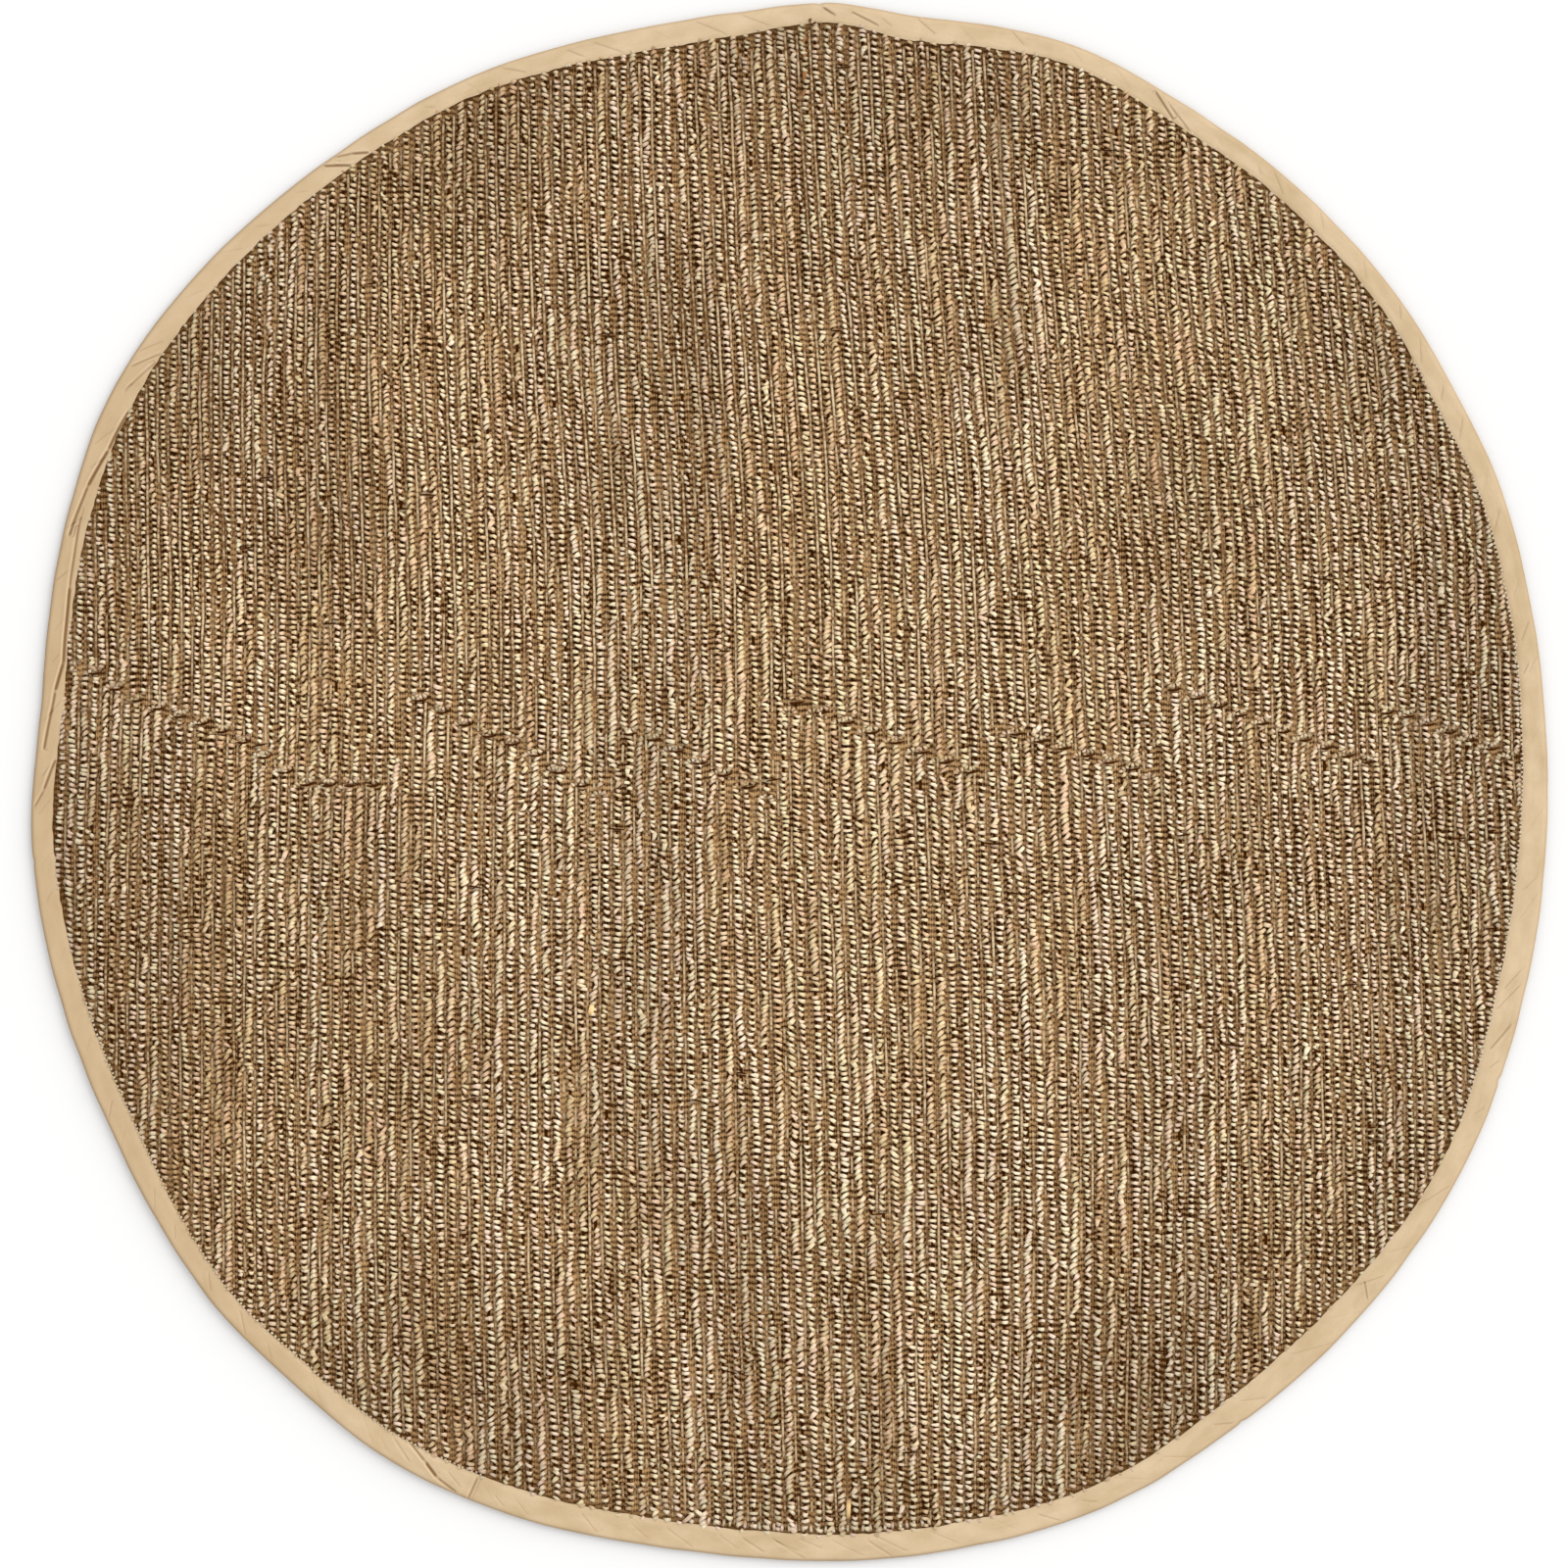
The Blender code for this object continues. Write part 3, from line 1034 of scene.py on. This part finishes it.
nicks = (  # bearing, depth at the rug's edge; small notches in the outline
    (337.1, 0.0016),
    (305.1, 0.0014),
    (186.0, 0.0010),
    (88.0, 0.0012),
)


def softCreases(rng):
    # faint drag lines where the tape was pulled round, from its inner side out to the fold
    count = tapeSettings["softCreases"]
    bearing = (np.arange(count) + rng.uniform(-0.3, 0.3, count)) * 360 / count
    wide = around(tapeWidth, bearing) * 1000
    inner = wide * rng.uniform(0.55, 0.95, count)
    outer = rng.uniform(2, 9, count)
    run = (inner - outer) * rng.uniform(1.2, 2.0, count)
    depth = rng.uniform(0.15, 0.5, count)
    beyond = bearing + run / tapeSettings["mmPerDegree"]
    return joined(bearing, inner, beyond, outer, depth)


def creaseField(arc, inset, rows):
    # signed distance to the nearest crease, and how deep that crease is there
    arcRadius, halfArc = tapeSettings["arcRadius"], tapeSettings["wholeArc"] / 2
    best = np.zeros(arc.shape)
    distance = np.full(arc.shape, 0.006)
    for fromBearing, fromInset, toBearing, toInset, depth in rows:
        start = np.array([np.radians(fromBearing) * arcRadius, fromInset / 1000])
        run = np.array([np.radians(toBearing) * arcRadius, toInset / 1000]) - start
        length = np.hypot(*run)
        away = (arc - start[0] - run[0] / 2 + halfArc) % (2 * halfArc) - halfArc
        near = np.abs(away) < length / 2 + 0.008
        dx = (arc[near] - start[0] + halfArc) % (2 * halfArc) - halfArc
        dy = inset[near] - start[1]
        along = (dx * run[0] + dy * run[1]) / length
        aside = (dx * run[1] - dy * run[0]) / length
        fade = smoothStep(along, -0.0015, 0.002) * smoothStep(length - along, -0.0015, 0.002)
        weight = depth * fade * (1 - smoothStep(abs(aside), 0.0035, 0.0055))
        stronger = weight > best[near]
        best[near] = np.where(stronger, weight, best[near])
        distance[near] = np.where(stronger, aside, distance[near])
    return distance, best


def tapeProfile(wide):
    # the section of the folded tape, as inset and height: over the top, round the fold, under
    # and back inside
    s = tapeSettings
    thin, fold, droop = s["thickness"], tapeTop / 2, s["droop"]

    def flat(share, height):
        return fold + (wide - fold) * share, height

    def bend(radius, degrees):
        a = math.radians(degrees)
        return fold - radius * math.cos(a) + 0 * wide, fold + radius * math.sin(a)

    profile = []
    for share in s["topShares"]:
        profile.append(flat(share, tapeTop - droop + droop * smoothStep(1 - share, 0, 0.18)))
    profile += [bend(fold, degrees) for degrees in s["bends"]]
    profile += [flat(0.4, 0.0), flat(0.8, 0.0), flat(1.0, 0.0), flat(1.0, thin), flat(0.4, thin)]
    profile += [bend(fold - thin, degrees) for degrees in s["insideBends"]]
    profile += [flat(0.5, tapeTop - thin), flat(1.0, tapeTop - thin - droop)]
    return profile


def tapeMaps(steps, ring):
    # each of the tape's lengths has its own band of the map
    bands = tapeSettings["bands"]
    place = np.arange(steps) * bands / steps
    band = np.floor(place)
    start = (place - band)[:, None] + np.zeros((1, ring))
    end = start + bands / steps
    low = (band[:, None] + 0.03 + 0.94 * np.arange(ring)[None, :] / ring) / bands
    high = low + 0.94 / ring / bands
    corners = ((start, low), (start, high), (end, high), (end, low))
    return np.stack([joined(*corner) for corner in corners], axis=2).reshape(-1, 2)


def tapeMesh(name):
    s = tapeSettings
    rng = np.random.default_rng(s["seed"])
    bearings = np.arange(s["steps"]) * 360 / s["steps"]
    outer = around(outerRadius, bearings)
    wide = around(tapeWidth, bearings)
    arc = np.radians(bearings) * s["arcRadius"]
    outer = outer + 0.0004 * slowNoise(rng, arc, 0.03)
    wide = wide + 0.0005 * slowNoise(rng, arc, 0.012) + 0.0005 * slowNoise(rng, arc, 0.006)
    for bearing, depth in nicks:
        outer = outer - depth * np.exp(-(((bearings - bearing) / nickWidth) ** 2))
    profile = tapeProfile(wide)
    inset = joined(*(place for place, _ in profile))
    height = np.array([z for _, z in profile])
    steps, ring = inset.shape
    number = np.arange(ring)
    arcs = np.broadcast_to(arc[:, None], inset.shape)
    fields = []
    for rows in (creaseRows, softCreases(rng)):
        distance, depth = creaseField(arcs, inset, rows)
        depth = depth * (number < s["creasedPoints"]) * smoothStep(inset, 0.0005, 0.003)
        groove = np.exp(-((distance / 0.0011) ** 2))
        lip = np.exp(-(((distance - 0.0026) / 0.0018) ** 2))
        height = height + s["creaseDepth"] * depth * (0.9 * lip - 0.8 * groove)
        fields.append(joined(distance * 1000, depth, 0.0))
    puff = np.interp(inset, (0.0, 0.004, 0.012, 0.020, 0.03), (0, 0.3, 1, 0.6, 0))
    puff = puff * (number < s["puffedPoints"])
    height = height + puff * s["puff"] * slowNoise(rng, arc, 0.03)[:, None]
    points = ringPoints(outer[:, None] - inset, bearings[:, None], height)
    grid = np.arange(steps * ring).reshape(steps, ring)
    ahead = np.roll(grid, -1, axis=0)
    faces = joined(grid, np.roll(grid, -1, axis=1), np.roll(ahead, -1, axis=1), ahead).reshape(-1, 4)
    corner = faces.reshape(-1)
    laid = joined(arcs, inset, 0.0).reshape(-1, 3)[corner]
    # the last faces run on past the whole way round, not back to its start
    closing = (corner < ring) & (np.arange(len(corner)) >= (steps - 1) * ring * 4)
    laid[closing, 0] += 2 * np.pi * s["arcRadius"]
    vectors = {"tape": laid, "folds": fields[0], "drags": fields[1]}
    return buildMesh(name, points.reshape(-1, 3), faces, tapeMaps(steps, ring), vectors)


def tapeFinish():
    f = Finish("plain cotton tape")
    s = tapeSettings
    along, inset = f.vector("tape")[:2]
    fold, foldDepth = f.vector("folds")[:2]
    drag, dragDepth = f.vector("drags")[:2]
    x = f.place()[0]
    weave = (along * 9000).sine() * (inset * 9000).sine()
    cloud = f.noise(along * 30, inset * 60, 0.4, 3.0)
    wide = f.noise(along * 2.2, 0.3, 5.0, 1.0)
    slub = f.noise(along * 25, inset * 1500, 0.9)
    grain = f.noise(along * 900, inset * 1300, 0.6, 1.0)
    # painted shade: the tape is darkened along the folds and drag lines, where they sink
    foldLine = foldDepth * (1 - fold.absolute().between(0.3, foldDepth * 2.4 + 0.3))
    dragLine = dragDepth * (1 - drag.absolute().between(0.2, 1.3))
    lines = (foldLine + dragLine * 0.8).between(0.0, 1.1)
    # painted highlight on the raised lip beside each fold
    raisedShading = foldDepth * (1 - (fold - 2.4).absolute().between(0.0, 1.6)) * 0.35
    colour = f.ramp(cloud * 0.6 + slub * 0.15 + wide * 0.25, s["colours"])
    colour = f.mix((0 - x).between(0.2, 0.9) * 0.60, colour, s["shaded"])
    # painted shade where the tape turns down round the fold
    colour = f.mix((1 - inset.between(0.0, 0.0042)) * 0.55, colour, s["edge"])
    colour = f.mix((grain - 0.5) * 0.9, colour, s["grain"])
    # painted shade in the folds and drag lines
    colour = f.mix(lines * 0.95, colour, s["line"])
    colour = f.mix(raisedShading, colour, s["raisedShading"])
    height = weave * 0.12 + slub * 0.2 - foldLine * 2.0 - dragLine * 1.4
    return f.close(colour, 0.82 + 0.1 * slub, f.bump(height, 0.0006, 0.6), 0.2)


# Making and placing the pieces

body = "root"
loops, upperRows, lowerRows, darkLines = weaveLoops()
print("loops woven:", loops.shape[1])
order = np.argsort(loops[0], kind="stable")
loops = loops[:, order]
jute = juteFinish()
for k, part in enumerate(np.array_split(loops, loopSettings["columns"], axis=1)):
    piece = archMesh(f"loop_rows_{k + 1}", part)
    piece.data.materials.append(jute)
    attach(piece, body)

yarns = yarnMesh("smooth_yarns", yarnRuns(upperRows, lowerRows))
yarns.data.materials.append(yarnFinish())
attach(yarns, body)
print("yarns made:", len(yarns.data.polygons) * 2, "triangles")

shadeStripPiece = shadeStripMesh("painted_shade_strips", rowShadeRuns(upperRows, lowerRows), darkLines)
shadeStripPiece.data.materials.append(shadeStripFinish())
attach(shadeStripPiece, body)
print("shade strips made:", len(shadeStripPiece.data.polygons) * 2, "triangles")

mat = matMesh("woven_mat")
mat.data.materials.append(matFinish())
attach(mat, body)
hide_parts("jute_field")
print("mat made:", len(mat.data.polygons) * 2, "triangles")

tape = tapeMesh("folded_tape")
tape.data.materials.append(tapeFinish())
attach(tape, body)
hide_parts("cotton_binding")
print("tape made:", len(tape.data.polygons) * 2, "triangles")


# Floor, light and camera

studio = {
    "floor": (0.655, 0.655, 0.655),
    "floorHalf": 60,
    "keyBearing": 38,  # degrees from +X towards +Y
    "keyHeight": 24,  # degrees above the floor
    "keyStrength": 2.7,
    "keySpread": 60,  # degrees that the light is wide
    "keyColour": (1.0, 0.985, 0.96),
    "sky": 1.20,
    "frameWide": 1.5184,  # metres that the picture is wide at the rug
    "sensor": 36,
    "lens": 85,
    "centre": (-0.005335, -0.0019475),
}


def makeFloor():
    mesh = bpy.data.meshes.new("floor")
    half = studio["floorHalf"]
    corners = [(-half, -half), (half, -half), (half, half), (-half, half)]
    mesh.from_pydata([(x, y, -0.0003) for x, y in corners], [], [(0, 1, 2, 3)])
    made = bpy.data.objects.new("floor", mesh)
    bpy.context.scene.collection.objects.link(made)
    f = Finish("pale floor")
    shader = f.node("ShaderNodeBsdfDiffuse", None, {"Color": (*studio["floor"], 1)})
    f.node("ShaderNodeOutputMaterial", None, {"Surface": shader})
    mesh.materials.append(f.material)


def makeLight():
    data = bpy.data.lights.new("key light", "SUN")
    data.energy = studio["keyStrength"]
    data.angle = math.radians(studio["keySpread"])
    data.color = studio["keyColour"]
    key = bpy.data.objects.new("key light", data)
    tilt = math.radians(90 - studio["keyHeight"])
    key.rotation_euler = (0, tilt, math.radians(studio["keyBearing"]))
    bpy.context.scene.collection.objects.link(key)
    world = bpy.data.worlds.new("studio")
    world.use_nodes = True
    sky = world.node_tree.nodes["Background"]
    sky.inputs["Color"].default_value = (1, 1, 1, 1)
    sky.inputs["Strength"].default_value = studio["sky"]
    bpy.context.scene.world = world


def makeCamera():
    data = bpy.data.cameras.new("camera")
    data.lens = studio["lens"]
    data.sensor_width = studio["sensor"]
    made = bpy.data.objects.new("camera", data)
    away = studio["frameWide"] * studio["lens"] / studio["sensor"]
    made.location = (*studio["centre"], away + 0.004)
    bpy.context.scene.collection.objects.link(made)
    bpy.context.scene.camera = made


makeFloor()
makeLight()
makeCamera()
bpy.context.scene.view_settings.view_transform = "Standard"
print("floor, light and camera set")
